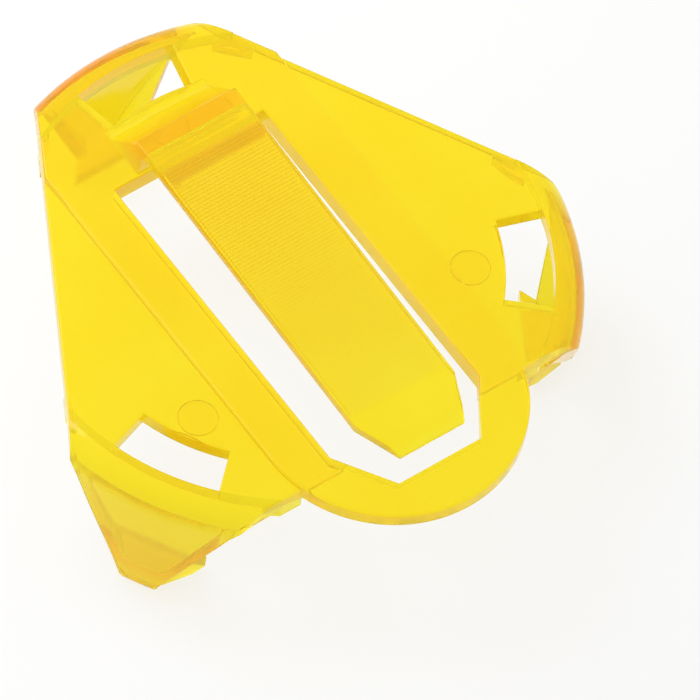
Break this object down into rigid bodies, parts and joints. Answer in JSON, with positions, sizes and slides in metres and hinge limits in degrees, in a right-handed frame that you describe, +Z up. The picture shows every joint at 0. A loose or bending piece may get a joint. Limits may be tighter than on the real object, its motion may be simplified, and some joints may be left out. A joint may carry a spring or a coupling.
{
  "type": "lip grip",
  "caption": "One-piece clear plastic clip: triangular plate with corner claws that snap over the lip of a round tin or spool, and a ribbed spring tongue inside a rounded loop.",
  "frame": {"origin": "mid width and mid length, on the plane the claw feet stand on", "axes": "+Z up through the plate towards the spring tongue, +Y along the tongue from the loop to its root, +X across"},
  "size_m": [0.073, 0.0772, 0.0266],
  "materials": {
    "clear_yellow_plastic": "polished, clear, tinted yellow"
  },
  "bodies": {
    "frame": {"wing_left": "clear_yellow_plastic", "wing_right": "clear_yellow_plastic", "head_pad": "clear_yellow_plastic", "leg_left": "clear_yellow_plastic", "leg_right": "clear_yellow_plastic", "loop": "clear_yellow_plastic", "tongue_riser": "clear_yellow_plastic", "stand_off_head": "clear_yellow_plastic", "rail_head_a": "clear_yellow_plastic", "rail_head_b": "clear_yellow_plastic", "stand_off_left": "clear_yellow_plastic", "rail_left_a": "clear_yellow_plastic", "rail_left_b": "clear_yellow_plastic", "stand_off_right": "clear_yellow_plastic", "rail_right_a": "clear_yellow_plastic", "rail_right_b": "clear_yellow_plastic"},
    "tongue": {"tongue_blade": "clear_yellow_plastic", "tongue_ribs": "clear_yellow_plastic", "tongue_tip": "clear_yellow_plastic"},
    "claw_head": {"claw_wall_head": "clear_yellow_plastic", "claw_lip_head": "clear_yellow_plastic", "claw_flank_head_a": "clear_yellow_plastic", "claw_flank_head_b": "clear_yellow_plastic"},
    "claw_left": {"claw_wall_left": "clear_yellow_plastic", "claw_lip_left": "clear_yellow_plastic", "claw_flank_left_a": "clear_yellow_plastic", "claw_flank_left_b": "clear_yellow_plastic"},
    "claw_right": {"claw_wall_right": "clear_yellow_plastic", "claw_lip_right": "clear_yellow_plastic", "claw_flank_right_a": "clear_yellow_plastic", "claw_flank_right_b": "clear_yellow_plastic"}
  },
  "joints": [
    {"name": "tongue_flex", "type": "hinge", "parent": "frame", "child": "tongue", "pos_m": [0, 0.0201, 0.0256], "axis": [-1, 0, 0], "range_deg": [-2, 8], "stiffness_Nm_per_rad": 0.8},
    {"name": "claw_flex_head", "type": "hinge", "parent": "frame", "child": "claw_head", "pos_m": [0, 0.03775, 0.0174], "axis": [1, 0, 0], "range_deg": [0, 7], "stiffness_Nm_per_rad": 2},
    {"name": "claw_flex_left", "type": "hinge", "parent": "frame", "child": "claw_left", "pos_m": [-0.03165, -0.01707, 0.0174], "axis": [-0.5, 0.866, 0], "range_deg": [0, 7], "stiffness_Nm_per_rad": 2},
    {"name": "claw_flex_right", "type": "hinge", "parent": "frame", "child": "claw_right", "pos_m": [0.03165, -0.01707, 0.0174], "axis": [-0.5, -0.866, 0], "range_deg": [0, 7], "stiffness_Nm_per_rad": 2}
  ]
}
